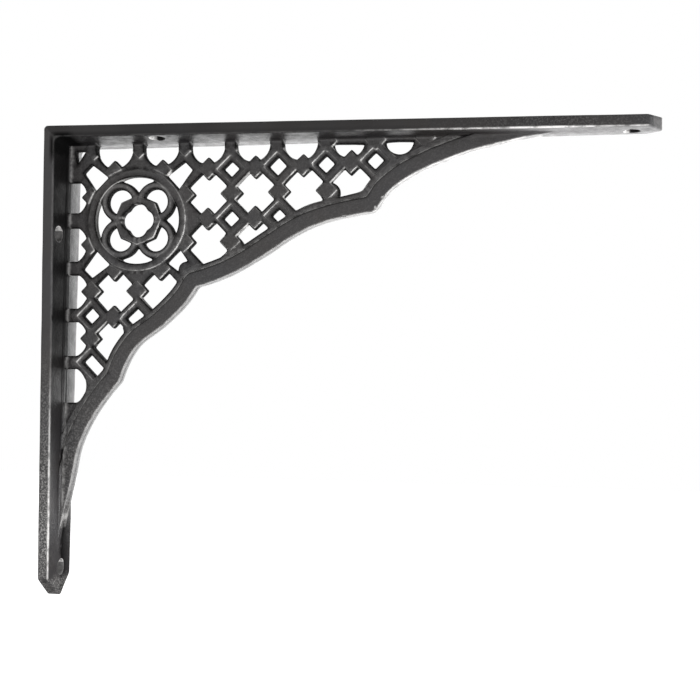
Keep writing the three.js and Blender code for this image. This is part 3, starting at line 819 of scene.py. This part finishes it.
# Iron
# Iron colours: two random tones, near-black for painted shade, pale iron for painted highlights and worn
# chips, lighter iron for specks that are partly grain and partly painted sparkle
COOL_IRON, WARM_IRON, PAINTED_SHADE_IRON = (0.020, 0.021, 0.025), (0.026, 0.021, 0.018), (0.004, 0.004, 0.004)
BARE_AND_LIT_IRON, SPECK_IRON = (0.62, 0.61, 0.60), (0.42, 0.41, 0.40)
GRAIN_SCALE, LUMP_SCALE, PATCH_SCALE = 1900.0, 330.0, 45.0
# Sockets of the node that mixes colours
UNDER, OVER, MIXED = 6, 7, 2


def node(tree, kind, **values):
    made = tree.nodes.new(kind)
    for name, value in values.items():
        if hasattr(made, name):
            setattr(made, name, value)
        else:
            made.inputs[name.replace("_", " ")].default_value = value
    return made


def iron_material():
    material = bpy.data.materials.new("cast_iron")
    material.use_nodes = True
    tree = material.node_tree
    shader = tree.nodes["Principled BSDF"]
    shader.inputs["Specular IOR Level"].default_value = 0.6

    def link(source, target):
        tree.links.new(source, target)

    def attribute(name):
        return node(tree, "ShaderNodeAttribute", attribute_name=name).outputs["Fac"]

    def noise(scale, detail, roughness):
        made = node(tree, "ShaderNodeTexNoise", Scale=scale, Detail=detail, Roughness=roughness)
        link(coords, made.inputs["Vector"])
        return made.outputs["Fac"]

    def ranged(source, **limits):
        made = node(tree, "ShaderNodeMapRange", **limits)
        link(source, made.inputs["Value"])
        return made.outputs["Result"]

    def times(first, second):
        made = node(tree, "ShaderNodeMath", operation="MULTIPLY")
        link(first, made.inputs[0])
        link(second, made.inputs[1])
        return made.outputs["Value"]

    def over(factor, under, colour):
        """Lays a colour over another one, or over a socket's, by a factor."""
        made = node(tree, "ShaderNodeMix", data_type="RGBA")
        made.inputs[OVER].default_value = (*colour, 1)
        link(factor, made.inputs["Factor"])
        if isinstance(under, tuple):
            made.inputs[UNDER].default_value = (*under, 1)
        else:
            link(under, made.inputs[UNDER])
        return made.outputs[MIXED]

    def bump(height, normal, strength, distance):
        made = node(tree, "ShaderNodeBump", Strength=strength, Distance=distance)
        link(height, made.inputs["Height"])
        if normal:
            link(normal, made.inputs["Normal"])
        return made.outputs["Normal"]

    coords = node(tree, "ShaderNodeTexCoord").outputs["Object"]
    grain = noise(GRAIN_SCALE, 2.0, 0.7)
    lumps = noise(LUMP_SCALE, 4.0, 0.6)
    patches = noise(PATCH_SCALE, 3.0, 0.6)
    painted_shade = attribute("painted_shade")

    tint = over(patches, COOL_IRON, WARM_IRON)
    # Painted shade: near-black laid over the iron by the shade attribute
    shaded_iron = over(painted_shade, tint, PAINTED_SHADE_IRON)
    dashes = ranged(lumps, From_Min=0.38, From_Max=0.56, To_Min=0.25)
    # Painted highlights, with real wear at the chips: pale iron laid over in broken dashes
    bare_and_lit = over(times(attribute("highlight_and_wear"), dashes), shaded_iron, BARE_AND_LIT_IRON)
    specks = ranged(grain, From_Min=0.46, From_Max=0.7)
    # Specks, partly grain and partly painted sparkle
    specked = over(times(attribute("grain_and_sparkle"), specks), bare_and_lit, SPECK_IRON)
    link(specked, shader.inputs["Base Color"])

    # Painted shade also dims the reflection: the IOR falls where the painted shade is strong
    link(ranged(painted_shade, To_Min=1.5, To_Max=1.03), shader.inputs["IOR"])
    rough = ranged(lumps, From_Min=0.3, From_Max=0.7, To_Min=0.36, To_Max=0.56)
    link(rough, shader.inputs["Roughness"])
    coarse = bump(lumps, None, strength=0.35, distance=0.0007)
    link(bump(grain, coarse, strength=0.5, distance=0.0003), shader.inputs["Normal"])
    return material


iron.data.materials.clear()
iron.data.materials.append(iron_material())
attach(iron, "root")
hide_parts(CASTING)


# Stage
def plain(name, colour, glow=0.0):
    material = bpy.data.materials.new(name)
    material.use_nodes = True
    shader = material.node_tree.nodes["Principled BSDF"]
    shader.inputs["Base Color"].default_value = (*colour, 1)
    shader.inputs["Roughness"].default_value = 0.9
    shader.inputs["Emission Color"].default_value = (1, 1, 1, 1)
    shader.inputs["Emission Strength"].default_value = glow
    return material


def panel(name, centre, size, turn, material):
    bpy.ops.mesh.primitive_plane_add(size=1, location=centre, rotation=turn)
    made = bpy.context.object
    made.name = name
    made.scale = (*size, 1)
    made.data.materials.append(material)
    return made


FLOOR_DROP, FLOOR_SIZE, FLOOR_COLOUR, FLOOR_GLOW = 0.35, (8, 8), (0.9, 0.9, 0.9), 0.95
paint = plain("pale_floor", FLOOR_COLOUR, FLOOR_GLOW)
floor = panel("floor", (0.1, 0, -FLOOR_DROP), FLOOR_SIZE, (0, 0, 0), paint)
floor.visible_diffuse = False
floor.visible_glossy = False

SKY_FRONT, SKY_BACK = 0.85, 0.1
world = bpy.data.worlds.new("soft_sky")
bpy.context.scene.world = world
world.use_nodes = True
sky = world.node_tree
seen = sky.nodes["Background"]
seen.inputs["Color"].default_value = (1, 1, 1, 1)
seen.inputs["Strength"].default_value = 1.0
lit = sky.nodes.new("ShaderNodeBackground")
lit.inputs["Color"].default_value = (1, 1, 1, 1)
coords = sky.nodes.new("ShaderNodeTexCoord")
parts = sky.nodes.new("ShaderNodeSeparateXYZ")
ramp = sky.nodes.new("ShaderNodeMapRange")
for name, value in (("From Min", -0.6), ("From Max", 0.4), ("To Min", SKY_FRONT), ("To Max", SKY_BACK)):
    ramp.inputs[name].default_value = value
path = sky.nodes.new("ShaderNodeLightPath")
mix = sky.nodes.new("ShaderNodeMixShader")
sky.links.new(coords.outputs["Generated"], parts.inputs["Vector"])
sky.links.new(parts.outputs["Y"], ramp.inputs["Value"])
sky.links.new(ramp.outputs["Result"], lit.inputs["Strength"])
sky.links.new(path.outputs["Is Camera Ray"], mix.inputs["Fac"])
sky.links.new(lit.outputs["Background"], mix.inputs[1])
sky.links.new(seen.outputs["Background"], mix.inputs[2])
sky.links.new(mix.outputs["Shader"], sky.nodes["World Output"].inputs["Surface"])


def lamp(name, place, target, size, glow):
    """A rectangular lamp whose face has an even glow, where 1 is white."""
    data = bpy.data.lights.new(name, "AREA")
    data.shape = "RECTANGLE"
    data.size, data.size_y = size
    data.energy = math.pi * size[0] * size[1] * glow
    made = bpy.data.objects.new(name, data)
    made.location = place
    made.rotation_mode = "QUATERNION"
    made.rotation_quaternion = (Vector(target) - Vector(place)).to_track_quat("-Z", "Y")
    made.visible_camera = False
    bpy.context.scene.collection.objects.link(made)


# Lamps: name, place, what they are aimed at, size and glow
LAMPS = [
    ("table", (0.16, 0.035, 0.02), (0.16, 0, 0.02), (0.34, 0.15), 3.0),
    ("window", (0.47, -0.17, -0.22), (0.06, 0, 0.03), (0.18, 0.42), 14.0),
    ("front_low", (-0.25, -0.62, -0.3), (0, 0, -0.07), (0.16, 0.16), 5.0),
]
for lamp_values in LAMPS:
    lamp(*lamp_values)

# Camera
CAMERA_PLACE = (0.17996, -0.39648, -0.00737)
RIGHT, UP, FORWARD = (0.98211, 0.18765, 0.01553), (-0.00946, -0.03324, 0.99940), (-0.18805, 0.98167, 0.03087)
FOCAL_PIXELS, PHOTO_SIDE, SENSOR = 1227.73, 700, 36.0
camera_data = bpy.data.cameras.new("camera")
camera_data.sensor_width = SENSOR
camera_data.lens = FOCAL_PIXELS / PHOTO_SIDE * SENSOR
camera_data.clip_start, camera_data.clip_end = 0.01, 50
camera = bpy.data.objects.new("camera", camera_data)
bpy.context.scene.collection.objects.link(camera)
turn = Matrix((RIGHT, UP, [-v for v in FORWARD])).transposed().to_4x4()
camera.matrix_world = Matrix.Translation(CAMERA_PLACE) @ turn
bpy.context.scene.camera = camera
bpy.context.scene.view_settings.view_transform = "Standard"

bpy.context.view_layer.update()
